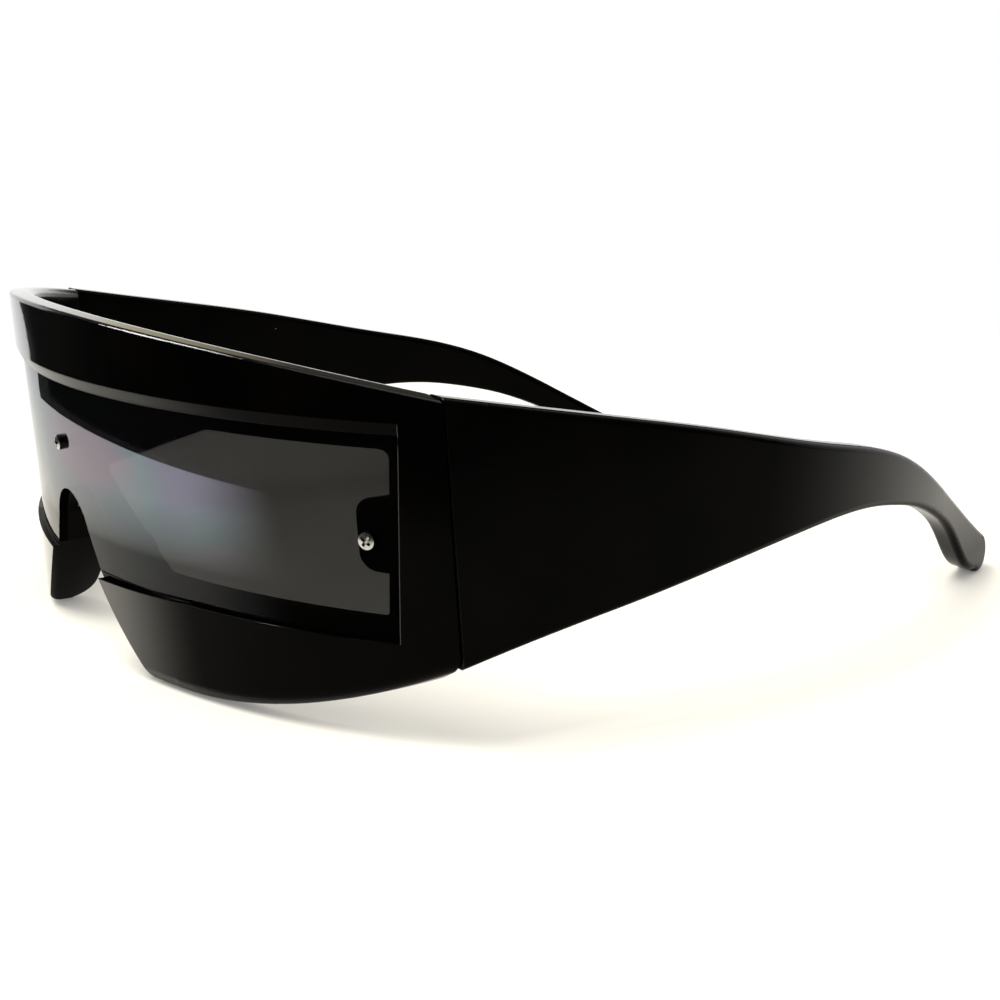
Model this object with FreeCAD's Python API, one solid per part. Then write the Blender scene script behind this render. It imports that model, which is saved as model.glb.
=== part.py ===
import FreeCAD, Part
import math
import os

Vector = FreeCAD.Vector

# Shield sunglasses, open, standing on a table on the two front feet and the two temple tips.
# Front faces -Y, temples run back along +Y, +X is the wearer's left, Z is up from the table.
# While modelling, Y is zero at the foremost line of the front; the finished set is then centred.

# Front: one curved, forward-leaning shell
half_width = 72.0             # middle plane to the outer corner of the temple joint
wrap_depth = 26.2             # how far the joint lies behind the foremost line
lean_angle = 2.96             # degrees that the top stands forward of the bottom
frame_thickness = 3.9
top_height = 51.3             # top edge in the middle plane
top_fall_angle = 13.64        # degrees that the top edge falls towards the back
top_edge_steps = 12           # points that shape it, from the middle to each side
edge_round = 0.5
lower_round = 2.0             # lower edge, on the face side
brow_back_round = 1.7         # upper edge, at the back

# Lower edge of the front: nose arch, flat feet and the sweep up to the joint
foot_inner_x = 24.2
foot_length = 5.4
joint_bottom_height = 11.25
nose_neck_half_width = 10.0
nose_neck_height = 13.4
nose_flank_inset = 0.6        # how far the nose flank bows in from a straight line
nose_arch_half_width = 6.9
nose_arch_spring_height = 18.8
nose_arch_height = 23.8

# Lens pocket between the brow and the lower bars
brow_height = 11.1            # top edge down to the underside of the brow
lens_seat_height = 13.5       # top of the lower bars
end_width_bottom = 6.4        # joint to the lens pocket, along the bars
end_width_top = 4.9           # the same, along the brow
lens_recess = 0.9             # lens face behind the brow face
lens_thickness = 1.4
lens_clearance = 0.1
lip_chamfer_height = 1.7
lip_chamfer_depth = 0.7
bar_step_drop = 1.0           # bevel on the bar's top at the nose, gone at its far end
bar_step_length = 24.0

# Eye openings in the rim behind the lens, with a screw tab at the temple side
eye_top_ledge = 2.2           # rim left above, below and beside the openings
eye_bottom_ledge = 2.4
eye_side_ledge = 3.4
eye_nose_top_x = 9.2
eye_nose_bend_x = 9.9
eye_nose_bend_share = 0.55    # height of the bend within the opening
eye_nose_foot_x = 25.4
eye_corner_round = 1.2
tab_width = 6.4               # from the pocket's side
tab_above = 5.2               # from the side screw up and down
tab_below = 4.6
tab_round = 2.4

# Nose pads, moulded with the frame
pad_thickness = 2.2
pad_depth = 9.2               # rear edge behind the foremost line
pad_height = 19.4
pad_round = 4.0

# Lens screws
screw_head_radius = 1.13
screw_head_height = 0.95
screw_head_dome = 0.25
screw_shank_radius = 0.8
screw_grip = 1.0              # thread length inside the boss
screw_clearance = 0.03
boss_radius = 1.9
recess_width = 0.42           # cross recess in the screw head
recess_depth = 0.5
recess_span = 1.5
center_screw_share = 0.44     # height between the nose arch and the brow
side_screw_share = 0.49       # height between the bars and the brow
side_screw_inset = 3.6        # from the pocket's side

# Temples
temple_thickness = 4.3
temple_splay = 4.4            # degrees outward at the joint
temple_straight = 22.4        # straight run before the inward bend
temple_bend_radius = 128.0
temple_bend_run = 75.0        # length of the bend; the hook behind it is straight in plan
temple_proud = 0.4            # outer face and edges stand proud of the front
joint_gap = 0.2
temple_length = 116.0         # joint plane to the tip, along Y
tip_radius = 3.3
temple_edge_round = 0.9

# Temple outline, as shares of temple length back from the joint and of its top height at the joint
temple_top_shares = [(0.13, 0.924), (0.315, 0.828), (0.515, 0.709), (0.605, 0.658), (0.685, 0.59),
                     (0.76, 0.49), (0.845, 0.354), (0.912, 0.246)]
temple_bottom_shares = [(0.1, 0.298), (0.21, 0.354), (0.35, 0.419), (0.48, 0.462), (0.56, 0.472),
                        (0.605, 0.465), (0.655, 0.444), (0.72, 0.401), (0.775, 0.342), (0.834, 0.25),
                        (0.875, 0.15), (0.898, 0.092)]

# Hinges: a front leaf, a temple leaf and a screw that is their pin
hinge_height = 10.5
barrel_radius = 1.5
barrel_gap = 0.12             # between neighbouring barrels, along the pin
leaf_thickness = 0.8
leaf_length = 7.6
leaf_clearance = 0.15
pin_radius = 0.7
pin_clearance = 0.03
pin_head_radius = 1.15
pin_head_height = 0.7
pad_margin = 1.4              # moulded hinge pad around the front leaf

# Countersunk screws that hold the hinge leaves
leaf_screw_radius = 0.55
leaf_screw_head_radius = 1.0
leaf_screw_head_height = 0.45
leaf_screw_length = 2.0
leaf_screw_share = 0.66       # place along the leaf, from the pin
leaf_screw_spacing = 5.4
driver_slot_width = 0.3       # straight slot, in these and in the hinge screws
driver_slot_depth = 0.25

# Reach of cutters past what they cut
overrun = 8.0

lip_height = top_height - brow_height
pocket_half_width_bottom = half_width - end_width_bottom
pocket_half_width_top = half_width - end_width_top
eye_top_height = lip_height - eye_top_ledge
eye_bottom_height = lens_seat_height + eye_bottom_ledge
eye_side_x_bottom = pocket_half_width_bottom - eye_side_ledge
eye_side_x_top = pocket_half_width_top - eye_side_ledge
eye_nose_bend_height = eye_bottom_height + (eye_top_height - eye_bottom_height) * eye_nose_bend_share
center_screw_height = nose_arch_height + (lip_height - nose_arch_height) * center_screw_share
side_screw_height = lens_seat_height + (lip_height - lens_seat_height) * side_screw_share
side_screw_x = pocket_half_width_bottom - side_screw_inset
tab_inner_x = pocket_half_width_bottom - tab_width
tab_top_height = side_screw_height + tab_above
tab_bottom_height = side_screw_height - tab_below
bar_step_end_x = nose_neck_half_width + bar_step_length
front_radius = (half_width ** 2 + wrap_depth ** 2) / (2 * wrap_depth)
lean = math.radians(lean_angle)
lens_floor = lens_recess + lens_thickness + lens_clearance / 2
joint_plane_y = wrap_depth / math.cos(lean)
temple_top_height = top_height - wrap_depth * math.tan(math.radians(top_fall_angle)) + temple_proud
temple_bottom_height = joint_bottom_height - temple_proud
hinge_z = (temple_top_height + temple_bottom_height) / 2
splay = math.radians(temple_splay)
ceiling = top_height + overrun


def joint_y(z):
    # joint plane at height z, leaning like the front
    return joint_plane_y - z * math.tan(lean)


def leaned(shape):
    # turn about the X axis so that the top comes forward
    tilted = shape.copy()
    tilted.rotate(Vector(0, 0, 0), Vector(1, 0, 0), lean_angle)
    return tilted


def box_between(low, high):
    # axis-aligned box from its lowest to its highest corner
    size = high - low
    return Part.makeBox(size.x, size.y, size.z, low)


def front_cylinder(depth):
    # solid cylinder inside the front's surface, a given depth behind the brow face
    length = ceiling + 2 * overrun
    base = Vector(0, front_radius, -2 * overrun)
    return leaned(Part.makeCylinder(front_radius - depth, length, base))


def front_band(near, far):
    # curved wall between two depths behind the brow face
    return front_cylinder(near).cut(front_cylinder(far))


def prism_along_y(wire):
    # front-view outline pushed through the whole front
    reach = wrap_depth + 4 * overrun
    face = Part.Face(wire)
    face.translate(Vector(0, -2 * overrun, 0))
    return face.extrude(Vector(0, reach, 0))


def polygon(points):
    corners = [Vector(x, 0, z) for x, z in points]
    return Part.makePolygon(corners + corners[:1])


def mirrored(shape):
    return shape.mirror(Vector(0, 0, 0), Vector(1, 0, 0))


def both_sides(shape):
    return shape.fuse(mirrored(shape))


def edges_along_y(shape):
    # straight edges of a prism that run front to back
    found = []
    for edge in shape.Edges:
        direction = edge.Vertexes[-1].Point - edge.Vertexes[0].Point
        if abs(direction.x) + abs(direction.z) < abs(direction.y) * 1e-3:
            found.append(edge)
    return found


def three_point_arc(start, middle, end):
    ends = [Vector(x, 0, z) for x, z in (start, middle, end)]
    return Part.Arc(*ends).toShape()


def segment(start, end):
    return Part.LineSegment(Vector(start[0], 0, start[1]), Vector(end[0], 0, end[1])).toShape()


def surface_point(x, z, depth):
    # point on the front's curved surface and the outward normal there
    radius = front_radius - depth
    turn = math.asin(x / radius)
    local_y = front_radius - radius * math.cos(turn)
    y = local_y / math.cos(lean) - z * math.tan(lean)
    normal = Vector(math.sin(turn), -math.cos(turn) * math.cos(lean), -math.cos(turn) * math.sin(lean))
    return Vector(x, y, z), normal


# Nose arch: flared flanks, narrow neck and a round top
def nose_side_edges(shift):
    # right flank and neck, moved sideways by a shift
    foot = (foot_inner_x + shift, 0)
    neck = (nose_neck_half_width + shift, nose_neck_height)
    spring = (nose_arch_half_width + shift, nose_arch_spring_height)
    chord = Vector(neck[0] - foot[0], 0, neck[1] - foot[1])
    inward = Vector(-chord.z, 0, chord.x).normalize() * nose_flank_inset
    bow = ((foot[0] + neck[0]) / 2 + inward.x, (foot[1] + neck[1]) / 2 + inward.z)
    return [three_point_arc(foot, bow, neck), segment(neck, spring)], foot, spring


def nose_opening():
    side, foot, spring = nose_side_edges(0)
    other = [mirrored(edge) for edge in side]
    top = three_point_arc(spring, (0, nose_arch_height), (-spring[0], spring[1]))
    below = [segment(foot, (foot[0], -overrun)), segment((foot[0], -overrun), (-foot[0], -overrun)),
             segment((-foot[0], -overrun), (-foot[0], foot[1]))]
    wire = Part.Wire(Part.__sortEdges__(side + other + [top] + below))
    return prism_along_y(wire)


# Everything under the front: flat feet, then an arc that rises to the joint
def lower_edge_cut():
    flat_end = foot_inner_x + foot_length
    run = half_width - flat_end
    radius = (run ** 2 + joint_bottom_height ** 2) / (2 * joint_bottom_height)

    def rise(x):
        return radius - math.sqrt(radius ** 2 - (x - flat_end) ** 2)

    far_x = half_width + overrun / 2
    middle_x = (flat_end + far_x) / 2
    start = (flat_end, 0)
    end = (far_x, rise(far_x))
    wire = Part.Wire([
        three_point_arc(start, (middle_x, rise(middle_x)), end),
        segment(end, (far_x, -2 * overrun)),
        segment((far_x, -2 * overrun), (flat_end, -2 * overrun)),
        segment((flat_end, -2 * overrun), start),
    ])
    sweep = both_sides(prism_along_y(wire))
    table = box_between(Vector(-far_x, -2 * overrun, -3 * overrun), Vector(far_x, wrap_depth + overrun, 0))
    return sweep.fuse(table)


def top_edge_point(x, depth):
    # point a given depth behind the falling top edge, level with it
    fall = math.tan(math.radians(top_fall_angle))
    setback = surface_point(x, top_height, 0)[0].y - surface_point(0, top_height, 0)[0].y
    edge_height = top_height - setback * fall / (1 - fall * math.tan(lean))
    point, normal = surface_point(x, edge_height, 0)
    return point - Vector(normal.x, normal.y, 0) * depth


def top_cut():
    # all that lies above the top edge
    far_x = half_width + overrun
    rims = []
    for depth in (-overrun, frame_thickness + overrun):
        rim = Part.BSplineCurve()
        rim.interpolate([top_edge_point(far_x * step / top_edge_steps, depth)
                         for step in range(-top_edge_steps, top_edge_steps + 1)])
        rims.append(rim.toShape())
    return Part.makeRuledSurface(*rims).extrude(Vector(0, 0, ceiling))


def pocket_outline(margin):
    # lens window in front view, drawn in by a margin
    bottom = pocket_half_width_bottom - margin
    top = pocket_half_width_top - margin
    low = lens_seat_height + margin
    high = lip_height - margin
    return polygon([(-bottom, low), (bottom, low), (top, high), (-top, high)])


def lip_bevel():
    # slanted underside of the brow, outside a cone that follows the front's curve
    bevel_top = lip_height + lip_chamfer_height
    center = Vector(0, surface_point(0, lip_height, 0)[0].y + front_radius, lip_height)
    top_radius = front_radius + lip_chamfer_height * math.tan(lean)
    cone = Part.makeCone(front_radius - lip_chamfer_depth, top_radius, lip_chamfer_height, center)
    block = box_between(Vector(-pocket_half_width_top, -2 * overrun, lip_height),
                        Vector(pocket_half_width_top, wrap_depth, bevel_top))
    return block.cut(cone)


def eye_opening():
    outline = polygon([(eye_nose_top_x, eye_top_height), (eye_nose_bend_x, eye_nose_bend_height),
                       (eye_nose_foot_x, eye_bottom_height), (eye_side_x_bottom, eye_bottom_height),
                       (eye_side_x_top, eye_top_height)])
    opening = prism_along_y(outline)
    opening = opening.makeFillet(eye_corner_round, edges_along_y(opening))
    tab = prism_along_y(polygon([(tab_inner_x, tab_bottom_height), (half_width, tab_bottom_height),
                                 (half_width, tab_top_height), (tab_inner_x, tab_top_height)]))
    tab = tab.makeFillet(tab_round, edges_along_y(tab))
    return opening.cut(tab)


def nose_pads():
    # walls that follow the nose flanks and stand back from the frame
    inner, foot, spring = nose_side_edges(0)
    outer, far_foot, far_spring = nose_side_edges(pad_thickness)
    ends = [segment(foot, far_foot), segment(spring, far_spring)]
    wall = prism_along_y(Part.Wire(Part.__sortEdges__(inner + outer + ends)))
    profile = box_between(Vector(0, 0, 0), Vector(foot_inner_x + overrun, pad_depth, pad_height))
    rear = [edge for edge in profile.Edges
            if min(v.Point.y for v in edge.Vertexes) > pad_depth / 2
            and abs(edge.Vertexes[0].Point.x - edge.Vertexes[-1].Point.x) > pad_depth / 2]
    profile = profile.makeFillet(pad_round, rear)
    return both_sides(wall.common(profile).common(front_cylinder(frame_thickness / 2)))


# Screw with a slightly domed cross-recess head; its axis is +Z and its seat is z = 0
def lens_screw():
    length = lens_thickness + frame_thickness - lens_floor + screw_grip
    sphere_radius = (screw_head_radius ** 2 + screw_head_dome ** 2) / (2 * screw_head_dome)
    dome = Part.makeSphere(sphere_radius, Vector(0, 0, screw_head_height - sphere_radius))
    head = dome.common(Part.makeCylinder(screw_head_radius, screw_head_height))
    shank = Part.makeCylinder(screw_shank_radius, length, Vector(0, 0, -length))
    slot = Part.makeBox(recess_span, recess_width, screw_head_height,
                        Vector(-recess_span / 2, -recess_width / 2, screw_head_height - recess_depth))
    crossing = slot.copy()
    crossing.rotate(Vector(0, 0, 0), Vector(0, 0, 1), 90)
    return head.fuse(shank).cut(slot.fuse(crossing)).removeSplitter()


def aimed(shape, point, direction):
    # carry a shape made along +Z to a point and a direction
    placed = shape.copy()
    turn = FreeCAD.Rotation(Vector(0, 0, 1), direction)
    placed.Placement = FreeCAD.Placement(point, turn).multiply(shape.Placement)
    return placed


lens_screw_places = {
    "center": surface_point(0, center_screw_height, lens_recess),
    "left": surface_point(side_screw_x, side_screw_height, lens_recess),
    "right": surface_point(-side_screw_x, side_screw_height, lens_recess),
}
lens_screw_reach = lens_thickness + frame_thickness - lens_floor + screw_grip


# Hinge, modelled with its pin on the Z axis: the front leaf lies along -X, the temple leaf along +Y
barrel_height = (hinge_height - 2 * barrel_gap) / 3
pad_face = barrel_radius + leaf_clearance
leaf_screw_place = leaf_length * leaf_screw_share


def barrel(low, radius):
    return Part.makeCylinder(radius, barrel_height, Vector(0, 0, low))


barrel_lows = [-hinge_height / 2 + index * (barrel_height + barrel_gap) for index in range(3)]


def barrel_room(low):
    # space that the other leaf's barrel turns in
    room_height = barrel_height + 2 * barrel_gap
    return Part.makeCylinder(pad_face, room_height, Vector(0, 0, low - barrel_gap))


def leaf_screw():
    # countersunk screw along -Z with its flat head at z = 0
    cone = Part.makeCone(leaf_screw_radius, leaf_screw_head_radius, leaf_screw_head_height,
                         Vector(0, 0, -leaf_screw_head_height))
    shank = Part.makeCylinder(leaf_screw_radius, leaf_screw_length, Vector(0, 0, -leaf_screw_length))
    slot = Part.makeBox(2 * leaf_screw_head_radius, driver_slot_width, driver_slot_depth,
                        Vector(-leaf_screw_head_radius, -driver_slot_width / 2, -driver_slot_depth))
    return cone.fuse(shank).cut(slot).removeSplitter()


def leaf_screw_hole():
    wide = leaf_screw_head_radius + screw_clearance
    narrow = leaf_screw_radius + screw_clearance
    cone = Part.makeCone(narrow, wide, leaf_screw_head_height, Vector(0, 0, -leaf_screw_head_height))
    depth = leaf_screw_length + screw_clearance
    return cone.fuse(Part.makeCylinder(narrow, depth, Vector(0, 0, -depth)))


def front_leaf_screw_frames():
    face_y = leaf_thickness - pad_face
    for level in (1, -1):
        yield Vector(-leaf_screw_place, face_y, level * leaf_screw_spacing / 2), Vector(0, 1, 0)


def temple_leaf_screw_frames():
    face_x = pad_face - leaf_thickness
    for level in (1, -1):
        yield Vector(face_x, leaf_screw_place, level * leaf_screw_spacing / 2), Vector(-1, 0, 0)


def leaf(plate, own_barrels, other_barrels, screw_frames):
    shape = plate
    for low in own_barrels:
        shape = shape.fuse(barrel(low, barrel_radius))
    for low in other_barrels:
        shape = shape.cut(barrel_room(low))
    bore = Part.makeCylinder(pin_radius + pin_clearance, hinge_height, Vector(0, 0, -hinge_height / 2))
    shape = shape.cut(bore)
    for point, direction in screw_frames:
        shape = shape.cut(aimed(leaf_screw_hole(), point, direction))
    return shape.removeSplitter()


def front_leaf():
    plate = box_between(Vector(-leaf_length, -pad_face, -hinge_height / 2),
                        Vector(0, leaf_thickness - pad_face, hinge_height / 2))
    return leaf(plate, [barrel_lows[0], barrel_lows[2]], [barrel_lows[1]], front_leaf_screw_frames())


def temple_leaf():
    plate = box_between(Vector(pad_face - leaf_thickness, 0, -hinge_height / 2),
                        Vector(pad_face, leaf_length, hinge_height / 2))
    return leaf(plate, [barrel_lows[1]], [barrel_lows[0], barrel_lows[2]], temple_leaf_screw_frames())


def hinge_pin():
    head = Part.makeCylinder(pin_head_radius, pin_head_height, Vector(0, 0, hinge_height / 2))
    slot_low = hinge_height / 2 + pin_head_height - driver_slot_depth
    slot = Part.makeBox(2 * pin_head_radius, driver_slot_width, driver_slot_depth,
                        Vector(-pin_head_radius, -driver_slot_width / 2, slot_low))
    shank = Part.makeCylinder(pin_radius, hinge_height, Vector(0, 0, -hinge_height / 2))
    return head.fuse(shank).cut(slot).removeSplitter()


# Left temple in plan: straight with a slight splay, then bending in behind the ear
temple_ahead = Vector(math.sin(splay), math.cos(splay), 0)
temple_inward = Vector(-math.cos(splay), math.sin(splay), 0)
temple_start = Vector(half_width + temple_proud, joint_y(hinge_z), 0)
hinge_axis = temple_start + temple_inward * (temple_thickness + pad_face)


def temple_slab():
    # plan outline of the temple, pushed up past its full height
    bend_center = temple_start + temple_ahead * temple_straight + temple_inward * temple_bend_radius
    turn = temple_bend_run / temple_bend_radius

    def on_bend(radius, share):
        angle = splay - turn * share
        return bend_center + Vector(math.cos(angle), -math.sin(angle), 0) * radius

    inner_radius = temple_bend_radius - temple_thickness
    tail = Vector(math.sin(splay - turn), math.cos(splay - turn), 0) * temple_length
    outer_front = temple_start - temple_ahead * overrun
    inner_front = outer_front + temple_inward * temple_thickness
    outer_rear = on_bend(temple_bend_radius, 1) + tail
    inner_rear = on_bend(inner_radius, 1) + tail
    wire = Part.Wire([
        Part.LineSegment(outer_front, on_bend(temple_bend_radius, 0)).toShape(),
        Part.Arc(on_bend(temple_bend_radius, 0), on_bend(temple_bend_radius, 0.5),
                 on_bend(temple_bend_radius, 1)).toShape(),
        Part.LineSegment(on_bend(temple_bend_radius, 1), outer_rear).toShape(),
        Part.LineSegment(outer_rear, inner_rear).toShape(),
        Part.LineSegment(inner_rear, on_bend(inner_radius, 1)).toShape(),
        Part.Arc(on_bend(inner_radius, 1), on_bend(inner_radius, 0.5), on_bend(inner_radius, 0)).toShape(),
        Part.LineSegment(on_bend(inner_radius, 0), inner_front).toShape(),
        Part.LineSegment(inner_front, outer_front).toShape(),
    ])
    slab = Part.Face(wire)
    slab.translate(Vector(0, 0, -overrun))
    return slab.extrude(Vector(0, 0, ceiling + overrun))


def temple_profile():
    # side view of the temple: falling top edge, hooked end, round tip on the table
    front_top = Vector(0, joint_y(temple_top_height) + joint_gap, temple_top_height)
    front_bottom = Vector(0, joint_y(temple_bottom_height) + joint_gap, temple_bottom_height)

    def placed(share):
        return Vector(0, joint_plane_y + share[0] * temple_length, share[1] * temple_top_height)

    top_points = [front_top] + [placed(share) for share in temple_top_shares]
    bottom_points = [front_bottom] + [placed(share) for share in temple_bottom_shares]
    tip_center = Vector(0, joint_plane_y + temple_length - tip_radius, tip_radius)
    fall = (top_points[-1] - top_points[-2]).normalize()
    outward = Vector(0, -fall.z, fall.y)
    tip_top = tip_center + outward * tip_radius
    rise = (bottom_points[-2] - bottom_points[-1]).normalize()
    tip_bottom = tip_center + Vector(0, rise.z, -rise.y) * -tip_radius
    tip_end = tip_center + (fall * 2 + Vector(0, 0, -1)).normalize() * tip_radius
    top_curve = Part.BSplineCurve()
    top_curve.interpolate(Points=top_points + [tip_top])
    bottom_curve = Part.BSplineCurve()
    bottom_curve.interpolate(Points=[tip_bottom] + bottom_points[::-1])
    wire = Part.Wire([
        top_curve.toShape(),
        Part.Arc(tip_top, tip_end, tip_bottom).toShape(),
        bottom_curve.toShape(),
        Part.LineSegment(front_bottom, front_top).toShape(),
    ])
    return Part.Face(wire).extrude(Vector(half_width + 2 * overrun, 0, 0))


def temple_left():
    body = temple_slab().common(temple_profile())
    long_edges = []
    for edge in body.Edges:
        box = edge.BoundBox
        middle = (box.YMin + box.YMax) / 2
        if box.YLength > temple_length / 4 or middle > joint_plane_y + temple_length / 2:
            if box.XLength > temple_thickness or box.YLength > temple_thickness:
                long_edges.append(edge)
    body = body.makeFillet(temple_edge_round, long_edges)
    for point, direction in temple_leaf_screw_frames():
        body = body.cut(in_left_hinge(aimed(leaf_screw_hole(), point, direction), True))
    return body


def in_left_hinge(shape, on_temple):
    # carry a hinge piece from the pin's own frame to the left joint
    placed = shape.copy()
    if on_temple:
        placed.rotate(Vector(0, 0, 0), Vector(0, 0, 1), -temple_splay)
    placed.translate(Vector(hinge_axis.x, hinge_axis.y, hinge_z))
    return placed


def hinge_pad():
    # moulded block that gives the front leaf a flat seat
    low = Vector(hinge_axis.x - leaf_length - pad_margin, 0, hinge_z - hinge_height / 2 - pad_margin)
    high = Vector(half_width, hinge_axis.y - pad_face, hinge_z + hinge_height / 2 + pad_margin)
    return box_between(low, high).common(front_cylinder(frame_thickness / 2))


def hinge_room():
    # space behind the pad for the barrels and the leaf
    low = Vector(hinge_axis.x - leaf_length - pad_margin - overrun, hinge_axis.y - pad_face,
                 hinge_z - hinge_height / 2 - pad_margin)
    high = Vector(hinge_axis.x + pad_face + leaf_clearance, joint_plane_y + overrun,
                  hinge_z + hinge_height / 2 + pad_margin)
    return box_between(low, high)


def long_rims(shell):
    return [edge for edge in shell.Edges if edge.Length > half_width / 2]


def rim_round(edge):
    # rounding of a rim: larger below on the face side and above at the back
    middle = edge.valueAt((edge.FirstParameter + edge.LastParameter) / 2)
    depth = middle.y - surface_point(middle.x, middle.z, 0)[0].y
    at_back = depth > frame_thickness / 2
    if at_back and middle.z > lip_height:
        return brow_back_round
    if middle.z < lens_seat_height and not at_back:
        return lower_round
    return edge_round


def front_frame():
    behind = Part.makeBox(4 * half_width, 4 * half_width, 4 * ceiling,
                          Vector(-2 * half_width, wrap_depth, -2 * ceiling))
    shell = front_band(0, frame_thickness).cut(leaned(behind))
    shell = shell.cut(lower_edge_cut()).cut(top_cut())
    for radius in (brow_back_round, lower_round, edge_round):
        shell = shell.makeFillet(radius, [edge for edge in long_rims(shell) if rim_round(edge) == radius])
    shell = shell.fuse(both_sides(hinge_pad()))
    shell = shell.cut(nose_opening()).fuse(nose_pads())

    pocket = prism_along_y(pocket_outline(0)).cut(front_cylinder(lens_floor))
    shell = shell.cut(pocket)
    shell = shell.cut(lip_bevel())
    step_low = lens_seat_height - bar_step_drop
    step = prism_along_y(polygon([(0, step_low), (nose_neck_half_width, step_low),
                                  (bar_step_end_x, lens_seat_height), (0, lens_seat_height)]))
    shell = shell.cut(both_sides(step.cut(front_cylinder(lens_recess))))
    shell = shell.cut(both_sides(eye_opening()))

    for point, normal in lens_screw_places.values():
        boss = Part.makeCylinder(boss_radius, lens_screw_reach - lens_thickness, Vector(0, 0, -lens_screw_reach))
        shell = shell.fuse(aimed(boss, point, normal).common(front_cylinder(lens_floor)))
    shell = shell.cut(both_sides(hinge_room()))
    for point, normal in lens_screw_places.values():
        bore = Part.makeCylinder(screw_shank_radius + screw_clearance, lens_screw_reach + screw_clearance,
                                 Vector(0, 0, -lens_screw_reach - screw_clearance))
        shell = shell.cut(aimed(bore, point, normal))
    for point, direction in front_leaf_screw_frames():
        shell = shell.cut(both_sides(in_left_hinge(aimed(leaf_screw_hole(), point, direction), False)))
    return shell.removeSplitter()


def shield_lens():
    face = front_band(lens_recess, lens_recess + lens_thickness)
    lens = face.common(prism_along_y(pocket_outline(lens_clearance))).cut(nose_opening())
    behind = box_between(Vector(-2 * half_width, front_radius, -overrun),
                         Vector(2 * half_width, 3 * front_radius, 2 * ceiling))
    lens = lens.cut(behind)
    for point, normal in lens_screw_places.values():
        hole = Part.makeCylinder(screw_shank_radius + lens_clearance, 2 * overrun, Vector(0, 0, -overrun))
        lens = lens.cut(aimed(hole, point, normal))
    return lens


pieces = {"front_frame": front_frame(), "shield_lens": shield_lens()}
for name, (point, normal) in lens_screw_places.items():
    pieces["lens_screw_" + name] = aimed(lens_screw(), point, normal)

left_pieces = {
    "temple": temple_left(),
    "hinge_front_leaf": in_left_hinge(front_leaf(), False),
    "hinge_temple_leaf": in_left_hinge(temple_leaf(), True),
    "hinge_screw": in_left_hinge(hinge_pin(), False),
}
for level, frame in zip(("upper", "lower"), front_leaf_screw_frames()):
    left_pieces["front_leaf_screw_" + level] = in_left_hinge(aimed(leaf_screw(), *frame), False)
for level, frame in zip(("upper", "lower"), temple_leaf_screw_frames()):
    left_pieces["temple_leaf_screw_" + level] = in_left_hinge(aimed(leaf_screw(), *frame), True)
for name, shape in left_pieces.items():
    pieces[name + "_left"] = shape
    pieces[name + "_right"] = mirrored(shape)

# Origin: on the table, under the middle of the whole set
whole = Part.makeCompound(list(pieces.values())).optimalBoundingBox(False, False)
to_origin = Vector(0, -(whole.YMin + whole.YMax) / 2, -whole.ZMin)
os.makedirs("parts", exist_ok=True)
for name, shape in pieces.items():
    shape.translate(to_origin)
    shape.exportStep("parts/" + name + ".step")
    print(name, len(shape.Solids), shape.isValid(), round(shape.Volume, 2))

pin = hinge_axis + to_origin + Vector(0, 0, hinge_z)
print("size", [round(v, 2) for v in (whole.XLength, whole.YLength, whole.ZLength)])
print("shift to origin", round(to_origin.y, 3), round(to_origin.z, 3))
print("left hinge pin", [round(v, 3) for v in pin])
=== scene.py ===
import math
import bpy
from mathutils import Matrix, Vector

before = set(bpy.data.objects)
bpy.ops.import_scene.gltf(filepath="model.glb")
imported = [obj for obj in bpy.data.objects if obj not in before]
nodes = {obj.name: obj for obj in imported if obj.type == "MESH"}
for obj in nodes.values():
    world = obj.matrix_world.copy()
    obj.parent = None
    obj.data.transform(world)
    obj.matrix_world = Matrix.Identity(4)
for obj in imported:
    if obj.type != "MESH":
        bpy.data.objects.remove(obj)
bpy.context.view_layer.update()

scene = bpy.context.scene
print("loaded", len(nodes), "nodes")

# nearly all values of a noise lie in the wide range, most of them in the middle one
noiseWide = (0.3, 0.7)
noiseMiddle = (0.35, 0.65)


def addNode(tree, kind, **settings):
    node = tree.nodes.new(kind)
    for key, value in settings.items():
        setattr(node, key, value)
    return node


def newMaterial(name):
    material = bpy.data.materials.new(name)
    material.use_nodes = True
    tree = material.node_tree
    return material, tree, tree.nodes["Principled BSDF"]


def objectCoords(tree, stretch=(1, 1, 1)):
    mapping = addNode(tree, "ShaderNodeMapping")
    mapping.inputs["Scale"].default_value = stretch
    tree.links.new(addNode(tree, "ShaderNodeTexCoord").outputs["Object"], mapping.inputs["Vector"])
    return mapping.outputs["Vector"]


def splitVector(tree, vector):
    parts = addNode(tree, "ShaderNodeSeparateXYZ")
    tree.links.new(vector, parts.inputs["Vector"])
    return parts.outputs


def faceNormal(tree):
    return addNode(tree, "ShaderNodeNewGeometry").outputs["Normal"]


def noise(tree, coords, scale, detail=3, roughness=0.5):
    node = addNode(tree, "ShaderNodeTexNoise")
    tree.links.new(coords, node.inputs["Vector"])
    node.inputs["Scale"].default_value = scale
    node.inputs["Detail"].default_value = detail
    node.inputs["Roughness"].default_value = roughness
    return node.outputs["Fac"]


def remap(tree, value, fromRange, toRange=(0, 1), curve="LINEAR"):
    node = addNode(tree, "ShaderNodeMapRange", interpolation_type=curve)
    tree.links.new(value, node.inputs["Value"])
    node.inputs["From Min"].default_value, node.inputs["From Max"].default_value = fromRange
    node.inputs["To Min"].default_value, node.inputs["To Max"].default_value = toRange
    return node.outputs["Result"]


def combine(tree, operation, a, b, clamp=False):
    node = addNode(tree, "ShaderNodeMath", operation=operation, use_clamp=clamp)
    tree.links.new(a, node.inputs[0])
    tree.links.new(b, node.inputs[1])
    return node.outputs["Value"]


def times(tree, a, b):
    return combine(tree, "MULTIPLY", a, b)


def plus(tree, a, b):
    return combine(tree, "ADD", a, b, clamp=True)


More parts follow.
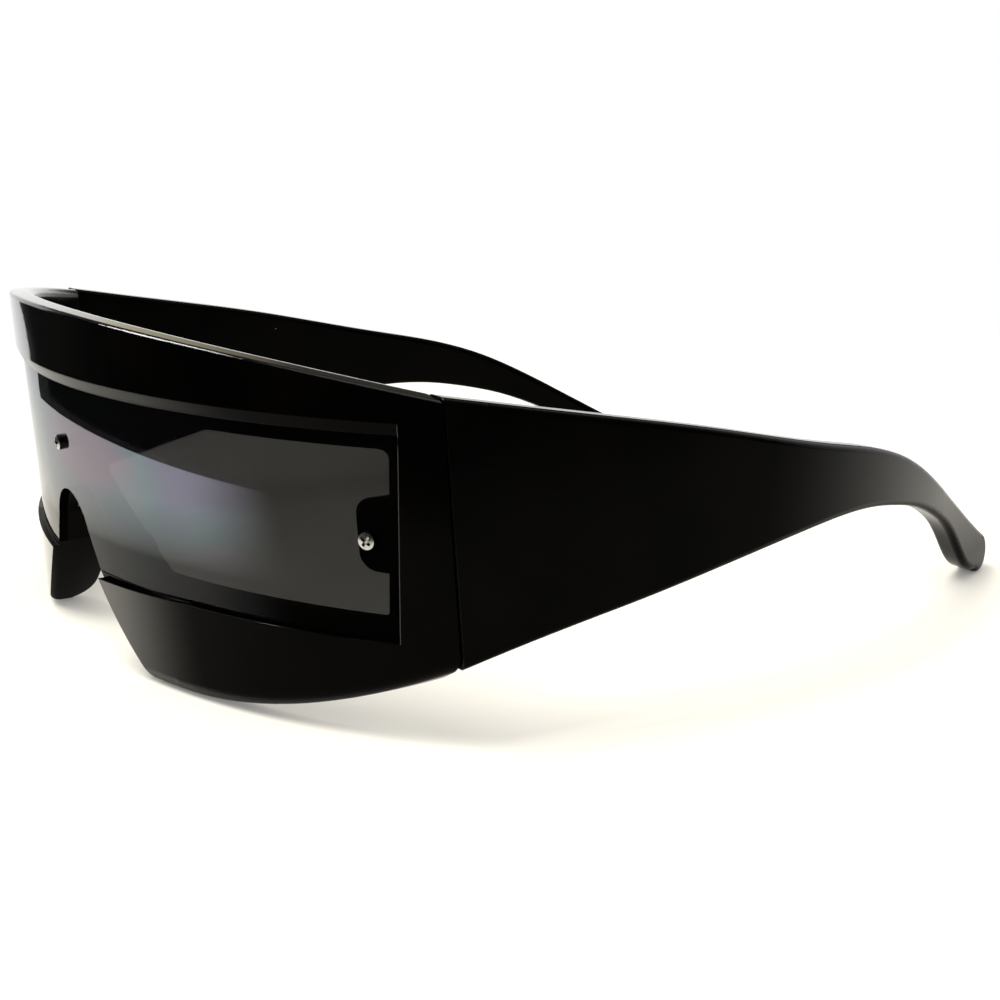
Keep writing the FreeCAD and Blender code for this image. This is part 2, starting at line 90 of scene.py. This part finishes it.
def larger(tree, a, b):
    return combine(tree, "MAXIMUM", a, b)


# the mix node has sockets for each kind of data, these are the colour ones
mixSocket = {"a": 6, "b": 7, "result": 2}


def blendColor(tree, factor, a, b):
    node = addNode(tree, "ShaderNodeMix", data_type="RGBA")
    tree.links.new(factor, node.inputs["Factor"])
    for key, value in (("a", a), ("b", b)):
        socket = node.inputs[mixSocket[key]]
        if isinstance(value, tuple):
            socket.default_value = (*value, 1)
        else:
            tree.links.new(value, socket)
    return node.outputs[mixSocket["result"]]


def bump(tree, height, strength, distance, normal=None):
    node = addNode(tree, "ShaderNodeBump")
    tree.links.new(height, node.inputs["Height"])
    if normal:
        tree.links.new(normal, node.inputs["Normal"])
    node.inputs["Strength"].default_value = strength
    node.inputs["Distance"].default_value = distance
    return node.outputs["Normal"]


# a few specks: the middle of some cells only
speck = {"core": 0.6, "pickWidth": 0.002}


def specks(tree, coords, scale, radius, share):
    cells = addNode(tree, "ShaderNodeTexVoronoi")
    tree.links.new(coords, cells.inputs["Vector"])
    cells.inputs["Scale"].default_value = scale
    rim = radius * scale
    near = remap(tree, cells.outputs["Distance"], (rim, rim * speck["core"]))
    pick = addNode(tree, "ShaderNodeSeparateColor")
    tree.links.new(cells.outputs["Color"], pick.inputs["Color"])
    chosen = remap(tree, pick.outputs["Red"], (1 - share, 1 - share + speck["pickWidth"]))
    return times(tree, near, chosen)


# deep black gloss: hardly any glare seen straight on, a clear one at a low angle
def glare(tree, fromRange, amount, normal=None):
    weight = addNode(tree, "ShaderNodeLayerWeight")
    if normal:
        tree.links.new(normal, weight.inputs["Normal"])
    return remap(tree, weight.outputs["Facing"], fromRange, (0, amount), "SMOOTHSTEP")


def height(tree):
    return splitVector(tree, objectCoords(tree))["Z"]


# axis of the front's curve: where it stands at the table, and how far it leans forward per metre up
axis = {"y": 0.04237, "slope": 0.05171}


# arrow in plan from that axis to a point
def fromAxis(tree):
    parts = splitVector(tree, objectCoords(tree))
    lean = remap(tree, parts["Z"], (0, 1), (-axis["y"], -axis["y"] + axis["slope"]))
    arrow = addNode(tree, "ShaderNodeCombineXYZ")
    tree.links.new(parts["X"], arrow.inputs["X"])
    tree.links.new(combine(tree, "ADD", parts["Y"], lean), arrow.inputs["Y"])
    return arrow.outputs["Vector"]


def axisDistance(tree):
    length = addNode(tree, "ShaderNodeVectorMath", operation="LENGTH")
    tree.links.new(fromAxis(tree), length.inputs[0])
    return length.outputs["Value"]


# 1 on faces that look to the front or the back, 0 on edges and flanks
def broadside(tree, fromRange):
    arrow = addNode(tree, "ShaderNodeVectorMath", operation="NORMALIZE")
    tree.links.new(fromAxis(tree), arrow.inputs[0])
    dot = addNode(tree, "ShaderNodeVectorMath", operation="DOT_PRODUCT")
    tree.links.new(arrow.outputs["Vector"], dot.inputs[0])
    tree.links.new(faceNormal(tree), dot.inputs[1])
    size = addNode(tree, "ShaderNodeMath", operation="ABSOLUTE")
    tree.links.new(dot.outputs["Value"], size.inputs[0])
    return remap(tree, size.outputs["Value"], fromRange)


# how far up a face looks, as the Z of its normal: where each part of the plastic's gloss sets in and is full
looksUp = {
    "under": (-0.5, -0.1), "rising": (0.3, 0.7), "ledge": (0.4, 0.7), "level": (0.85, 0.95),
    "slantLow": (0.3, 0.45), "slantHigh": (0.8, 0.9),
}


def glossPlastic(name, look):
    material, tree, shader = newMaterial(name)
    sockets = shader.inputs
    coords = objectCoords(tree)
    cloud = noise(tree, coords, look["cloudScale"], detail=4)
    grain = noise(tree, coords, look["grainScale"], detail=2)
    dust = specks(tree, coords, look["dustScale"], look["dustSize"], look["dustShare"])
    body = blendColor(tree, remap(tree, cloud, noiseMiddle), look["dark"], look["pale"])
    tree.links.new(blendColor(tree, dust, body, look["dustColor"]), sockets["Base Color"])
    gloss = remap(tree, cloud, noiseWide, look["roughness"])
    tree.links.new(plus(tree, gloss, dust), sockets["Roughness"])
    softEdge = addNode(tree, "ShaderNodeBevel", samples=4)
    softEdge.inputs["Radius"].default_value = look["softEdge"]
    softNormal = softEdge.outputs["Normal"]
    ripple = bump(tree, grain, look["grainStrength"], look["grainDepth"], softNormal)
    tree.links.new(ripple, sockets["Normal"])
    tree.links.new(ripple, sockets["Coat Normal"])
    up = splitVector(tree, faceNormal(tree))["Z"]
    # painted shade: the coat is turned down on faces that look down
    coat = times(tree, glare(tree, look["glare"], look["coat"], softNormal),
                 remap(tree, up, looksUp["under"], (look["under"], 1)))
    if "backFrom" in look:  # painted shade: the gloss is turned down on the back of the front and on the low ledges in the lens recess
        back = remap(tree, axisDistance(tree), look["backFrom"], (look["back"], 1))
        coat = times(tree, coat, larger(tree, back, remap(tree, up, looksUp["rising"])))
        upper = remap(tree, height(tree), look["ledgeTop"])
        ledge = remap(tree, up, looksUp["ledge"], (1, look["back"]))
        coat = times(tree, coat, larger(tree, upper, ledge))
        # painted highlight: more specular on the brow's level top face above the ledges
        browTopHighlight = times(tree, upper, remap(tree, up, looksUp["level"]))
        sheen = remap(tree, browTopHighlight, (0, 1), (look["sheen"], look["topHighlight"]))
        tree.links.new(sheen, sockets["Specular IOR Level"])
    else:
        sockets["Specular IOR Level"].default_value = look["sheen"]
    if "tipShadeFrom" in look:  # painted shade: the gloss is turned down low on the temples towards the tips, where they would reflect the shaded table
        coat = times(tree, coat, remap(tree, height(tree), look["tipShadeFrom"], (look["tip"], 1)))
    # painted highlight: extra gloss on faces that slant up, so the strip lamp's highlight shows along the
    # brow's top edge
    slantHighlight = times(tree, remap(tree, up, looksUp["slantLow"], (0, look["slantHighlight"])),
                   remap(tree, up, looksUp["slantHigh"], (1, 0)))
    tree.links.new(larger(tree, coat, slantHighlight), sockets["Coat Weight"])
    streaks = noise(tree, objectCoords(tree, look["hairStretch"]), look["hairScale"])
    hair = remap(tree, streaks, look["hairFrom"], (0, look["hair"]))
    coatGloss = remap(tree, cloud, noiseWide, look["coatRoughness"])
    tree.links.new(plus(tree, coatGloss, hair), sockets["Coat Roughness"])
    return material


def smokeLens(name, look):
    material, tree, shader = newMaterial(name)
    sockets = shader.inputs
    coords = objectCoords(tree)
    cloud = noise(tree, coords, look["cloudScale"])
    dust = specks(tree, coords, look["dustScale"], look["dustSize"], look["dustShare"])
    tint = blendColor(tree, remap(tree, cloud, noiseMiddle), look["dark"], look["pale"])
    tree.links.new(blendColor(tree, dust, tint, look["dustColor"]), sockets["Base Color"])
    tree.links.new(remap(tree, cloud, noiseWide, look["roughness"]), sockets["Roughness"])
    rise = height(tree)
    face = broadside(tree, look["faceFrom"])
    smoke = times(tree, remap(tree, rise, look["rise"], look["alpha"]),
                  remap(tree, cloud, noiseWide, look["smokeDrift"]))
    edge = remap(tree, face, (0, 1), (1, 0))
    solid = larger(tree, plus(tree, smoke, dust), edge)  # edges look black
    tree.links.new(solid, sockets["Alpha"])
    # painted shade in the reflection: turned down low on the lens, where it would see the shaded table near the
    # glasses
    mirror = times(tree, glare(tree, look["glare"], look["mirror"]),
                   remap(tree, rise, look["reflectionShadeRise"], look["reflectionShade"]))
    tree.links.new(times(tree, mirror, face), sockets["Specular IOR Level"])
    wash = noise(tree, objectCoords(tree, look["washStretch"]), look["washScale"], detail=2)
    coolWash = blendColor(tree, remap(tree, wash, look["greenFrom"]), look["lilac"], look["green"])
    fullWash = blendColor(tree, remap(tree, wash, look["roseFrom"]), coolWash, look["rose"])
    tree.links.new(fullWash, sockets["Specular Tint"])
    sockets["IOR"].default_value = look["ior"]
    return material


def turnedMetal(name, look):
    material, tree, shader = newMaterial(name)
    sockets = shader.inputs
    coords = objectCoords(tree, look["stretch"])
    streak = noise(tree, coords, look["streakScale"], detail=4, roughness=0.6)
    stain = noise(tree, objectCoords(tree), look["stainScale"])
    body = blendColor(tree, remap(tree, streak, noiseWide), look["dark"], look["pale"])
    tarnish = remap(tree, stain, look["stainFrom"], (0, look["stainAmount"]))
    metal = blendColor(tree, tarnish, body, look["stainColor"])
    if "flank" in look:  # painted shade: near black in the recess and round the side of the head
        metal = blendColor(tree, broadside(tree, look["faceFrom"]), look["flank"], metal)
    tree.links.new(metal, sockets["Base Color"])
    tree.links.new(remap(tree, streak, noiseWide, look["roughness"]), sockets["Roughness"])
    tree.links.new(bump(tree, streak, look["streakStrength"], look["streakDepth"]), sockets["Normal"])
    sockets["Metallic"].default_value = 1
    return material


def dress(name, material):
    piece = nodes[name]
    piece.data.materials.clear()
    piece.data.materials.append(material)


# front: injection moulded gloss black
frontLook = {
    "dark": (0.0003, 0.0003, 0.0003), "pale": (0.0009, 0.0007, 0.0005), "dustColor": (0.55, 0.53, 0.5),
    "cloudScale": 70, "grainScale": 900, "dustScale": 420, "dustSize": 0.00012, "dustShare": 0.02,
    "roughness": (0.1, 0.2), "coatRoughness": (0.02, 0.07), "grainStrength": 0.03, "grainDepth": 0.0002,
    "glare": (0.41, 0.6), "coat": 0.9, "under": 0.1, "sheen": 0.02, "topHighlight": 0.5, "slantHighlight": 0.9,
    "softEdge": 0.0002, "backFrom": (0.1113, 0.1117), "back": 0.08, "ledgeTop": (0.03, 0.034),
    "hairStretch": (1, 1, 14), "hairScale": 420, "hairFrom": (0.62, 0.7), "hair": 0.05,
}
dress("front_frame", glossPlastic("frontPlastic", frontLook))

# temples: same black, a little more handled
templeLook = {
    "dark": (0.0003, 0.0003, 0.0003), "pale": (0.0012, 0.001, 0.0007), "dustColor": (0.6, 0.58, 0.54),
    "cloudScale": 55, "grainScale": 800, "dustScale": 330, "dustSize": 0.00024, "dustShare": 0.06,
    "roughness": (0.12, 0.24), "coatRoughness": (0.05, 0.12), "grainStrength": 0.03, "grainDepth": 0.0002,
    "glare": (0.32, 0.64), "coat": 0.55, "under": 0.12, "sheen": 0.02, "slantHighlight": 0,
    "softEdge": 0.0002, "tipShadeFrom": (0.005, 0.018), "tip": 0.12,
    "hairStretch": (1, 1, 14), "hairScale": 420, "hairFrom": (0.62, 0.7), "hair": 0.08,
}
templePlastic = glossPlastic("templePlastic", templeLook)
for side in ("left", "right"):
    dress("temple_" + side, templePlastic)

# lens: dark smoke with a thin hard coat that tints its reflections
lensLook = {
    "dark": (0.0006, 0.0006, 0.0006), "pale": (0.0014, 0.0012, 0.001), "dustColor": (0.5, 0.5, 0.48),
    "cloudScale": 40, "dustScale": 420, "dustSize": 0.0001, "dustShare": 0.015,
    "roughness": (0.004, 0.012), "faceFrom": (0.5, 0.8), "ior": 2.2, "mirror": 0.7, "glare": (0.26, 0.42),
    "alpha": (0.81, 0.845), "rise": (0.014, 0.036), "smokeDrift": (0.985, 1.015),
    "reflectionShadeRise": (0.0185, 0.027), "reflectionShade": (0.06, 1), "washScale": 26, "washStretch": (1, 1, 2),
    "lilac": (0.66, 0.66, 1), "green": (0.58, 0.84, 1), "rose": (0.92, 0.78, 1),
    "greenFrom": (0.35, 0.5), "roseFrom": (0.5, 0.65),
}
dress("shield_lens", smokeLens("smokeLens", lensLook))
print("plastic and lens dressed")

# screws: bright plated steel, the lens screws with painted shade on their flanks
screwLook = {
    "dark": (0.42, 0.41, 0.39), "pale": (0.66, 0.65, 0.62), "stainColor": (0.12, 0.11, 0.1),
    "stretch": (1, 6, 1), "streakScale": 900, "stainScale": 700, "stainFrom": (0.5, 0.75), "stainAmount": 0.5,
    "roughness": (0.2, 0.36), "streakStrength": 0.12, "streakDepth": 0.0001,
}
lensScrewLook = {**screwLook, "flank": (0.02, 0.019, 0.018), "faceFrom": (0.4, 0.75)}
screwSteel = turnedMetal("screwSteel", screwLook)
lensScrewSteel = turnedMetal("lensScrewSteel", lensScrewLook)

# hinge leaves: satin metal, brushed along
leafLook = {
    "dark": (0.36, 0.35, 0.33), "pale": (0.56, 0.54, 0.5), "stainColor": (0.1, 0.09, 0.08),
    "stretch": (1, 1, 9), "streakScale": 700, "stainScale": 400, "stainFrom": (0.5, 0.75), "stainAmount": 0.4,
    "roughness": (0.26, 0.42), "streakStrength": 0.15, "streakDepth": 0.0001,
}
leafMetal = turnedMetal("leafMetal", leafLook)
for name in sorted(nodes):
    if "lens_screw" in name:
        dress(name, lensScrewSteel)
    elif "screw" in name:
        dress(name, screwSteel)
    elif "leaf" in name:
        dress(name, leafMetal)
print("metal dressed")


def stagePiece(name, points, faces):
    mesh = bpy.data.meshes.new(name)
    mesh.from_pydata(points, [], faces)
    piece = bpy.data.objects.new(name, mesh)
    scene.collection.objects.link(piece)
    return piece


# white table, just under the feet, fading into plain white away from the object
table = {
    "half": 3.0, "drop": 0.0001, "dark": (0.87, 0.83, 0.73), "pale": (0.9, 0.86, 0.76), "scale": 25,
    "roughness": 0.9, "fade": (0.1, 0.32), "lift": 0.15,
}
half = table["half"]
floorCorners = [(x, y, -table["drop"]) for x, y in ((-half, -half), (half, -half), (half, half), (-half, half))]
floor = stagePiece("floor", floorCorners, [(0, 1, 2, 3)])
floorPaper, floorTree, floorShader = newMaterial("tablePaper")
floorCoords = objectCoords(floorTree)
floorCloud = noise(floorTree, floorCoords, table["scale"])
floorTone = blendColor(floorTree, floorCloud, table["dark"], table["pale"])
floorTree.links.new(floorTone, floorShader.inputs["Base Color"])
floorShader.inputs["Roughness"].default_value = table["roughness"]
floorShader.inputs["Specular IOR Level"].default_value = 0
away = addNode(floorTree, "ShaderNodeVectorMath", operation="LENGTH")
floorTree.links.new(floorCoords, away.inputs[0])
fade = remap(floorTree, away.outputs["Value"], table["fade"], (table["lift"], 1))
plainWhite = addNode(floorTree, "ShaderNodeEmission")
floorMix = addNode(floorTree, "ShaderNodeMixShader")
floorTree.links.new(fade, floorMix.inputs[0])
floorTree.links.new(floorShader.outputs["BSDF"], floorMix.inputs[1])
floorTree.links.new(plainWhite.outputs["Emission"], floorMix.inputs[2])
floorTree.links.new(floorMix.outputs["Shader"], floorTree.nodes["Material Output"].inputs["Surface"])
floor.data.materials.append(floorPaper)

# cards round the lit sheet, seen in the gloss only, as painted reflections: black for the shade on the open
# side of the tent, a glowing wall white to brown behind
room = {
    "center": (-0.02, 0.095), "far": 2.5, "top": 4.0, "lift": 0.0005, "steps": 86,
    "sheet": 0.255, "flareFrom": -136, "flare": 0.009,
    "openSweep": (-155, 60), "backSweep": (120, 204), "backLow": -0.3,
}


# the sheet's edge runs outward past the flare's angle
def sheetEdge(degrees):
    return room["sheet"] + room["flare"] * max(0, room["flareFrom"] - degrees)


def farWall(degrees):
    return room["far"]


def sweepCard(name, sweep, edges):
    points = []
    faces = []
    for step in range(room["steps"] + 1):
        degrees = sweep[0] + (sweep[1] - sweep[0]) * step / room["steps"]
        angle = math.radians(degrees)
        for reach, level in edges:
            x = room["center"][0] + reach(degrees) * math.cos(angle)
            y = room["center"][1] + reach(degrees) * math.sin(angle)
            points.append((x, y, level))
        if step:
            k = 2 * step
            faces.append((k - 2, k - 1, k + 1, k))
    return stagePiece(name, points, faces)


openFloor = sweepCard("cardFloor", room["openSweep"], ((sheetEdge, room["lift"]), (farWall, room["lift"])))
openWall = sweepCard("cardWall", room["openSweep"], ((farWall, 0), (farWall, room["top"])))
backWall = sweepCard("cardBack", room["backSweep"], ((farWall, room["backLow"]), (farWall, room["top"])))

blackLook = {"dark": (0.002, 0.002, 0.002), "pale": (0.006, 0.006, 0.006), "scale": 3}
blackCard, blackTree, blackShader = newMaterial("blackCard")
blackCloud = noise(blackTree, objectCoords(blackTree), blackLook["scale"], detail=2)
blackTone = blendColor(blackTree, blackCloud, blackLook["dark"], blackLook["pale"])
blackTree.links.new(blackTone, blackShader.inputs["Base Color"])
blackShader.inputs["Specular IOR Level"].default_value = 0

# back wall, a painted reflection of the room: white low down and towards -X, cream and then shade higher up and
# further round to +Y
# a slope here is the place's Y over its distance to -X
backLook = {
    "white": (1, 1, 0.98), "cream": (0.66, 0.6, 0.42), "shade": (0.06, 0.054, 0.042),
    "creamSlope": (0.27, 0.33), "creamRise": (0.25, 0.5), "shadeSlope": (0.33, 0.49), "shadeRise": (0.75, 0.95),
}
creamCard, creamTree = newMaterial("creamCard")[:2]
wallPlace = splitVector(creamTree, objectCoords(creamTree))
wallDepth = remap(creamTree, wallPlace["X"], (0, -room["far"]), (0, room["far"]))
wallSlope = combine(creamTree, "DIVIDE", wallPlace["Y"], wallDepth)
toCream = remap(creamTree, wallSlope, backLook["creamSlope"])
toShade = larger(creamTree, remap(creamTree, wallSlope, backLook["shadeSlope"]),
                 remap(creamTree, wallPlace["Z"], backLook["shadeRise"]))
wallTone = blendColor(creamTree, toCream, backLook["white"], backLook["cream"])
wallTone = blendColor(creamTree, toShade, wallTone, backLook["shade"])
wallRise = remap(creamTree, wallPlace["Z"], backLook["creamRise"])
wallGlow = addNode(creamTree, "ShaderNodeEmission")
creamTree.links.new(blendColor(creamTree, wallRise, backLook["white"], wallTone), wallGlow.inputs["Color"])
creamTree.links.new(wallGlow.outputs["Emission"], creamTree.nodes["Material Output"].inputs["Surface"])

for card, paper in ((openFloor, blackCard), (openWall, blackCard), (backWall, creamCard)):
    card.data.materials.append(paper)
    card.visible_camera = False
    card.visible_diffuse = False
    card.visible_transmission = False
    card.visible_shadow = False


def softbox(name, lamp):
    data = bpy.data.lights.new(name, "AREA")
    data.shape = "RECTANGLE"
    data.size, data.size_y = lamp["size"]
    data.energy = lamp["watts"]
    data.color = lamp["color"]
    box = bpy.data.objects.new(name, data)
    box.location = lamp["place"]
    aim = Vector(lamp["aim"]) - Vector(lamp["place"])
    box.rotation_euler = aim.to_track_quat("-Z", "Y").to_euler()
    box.visible_camera = False
    box.visible_diffuse = not lamp["inGloss"]
    box.visible_glossy = lamp["inGloss"]
    scene.collection.objects.link(box)


# one lamp lights the table, the other shows only as the long highlight on the brow
overhead = {
    "place": (0, -0.35, 0.85), "aim": (0, 0, 0), "size": (0.5, 0.5), "watts": 7.0,
    "color": (1, 0.985, 0.95), "inGloss": False,
}
windowStrip = {
    "place": (-0.5515, -0.5636, 0.65), "aim": (0.038, -0.063, 0.05), "size": (0.27, 0.5), "watts": 8.0,
    "color": (1, 1, 1), "inGloss": True,
}
softbox("overhead", overhead)
softbox("windowStrip", windowStrip)

# the tent: plain white all round
world = bpy.data.worlds.new("tent")
scene.world = world
world.use_nodes = True
world.node_tree.nodes["Background"].inputs["Color"].default_value = (1, 1, 1, 1)
world.node_tree.nodes["Background"].inputs["Strength"].default_value = 1
print("stage and light set")

# photo's view: low, from the wearer's left front
shot = {
    "place": (0.25724, -0.14715, 0.08282), "turn": (76.651, 0.979, 59.307), "lens": 64.906,
    "sensor": 36, "clipStart": 0.01,
}
cameraData = bpy.data.cameras.new("photoCamera")
cameraData.lens = shot["lens"]
cameraData.sensor_width = shot["sensor"]
cameraData.clip_start = shot["clipStart"]
camera = bpy.data.objects.new("photoCamera", cameraData)
camera.location = shot["place"]
camera.rotation_euler = [math.radians(a) for a in shot["turn"]]
scene.collection.objects.link(camera)
scene.camera = camera
scene.view_settings.view_transform = "Standard"
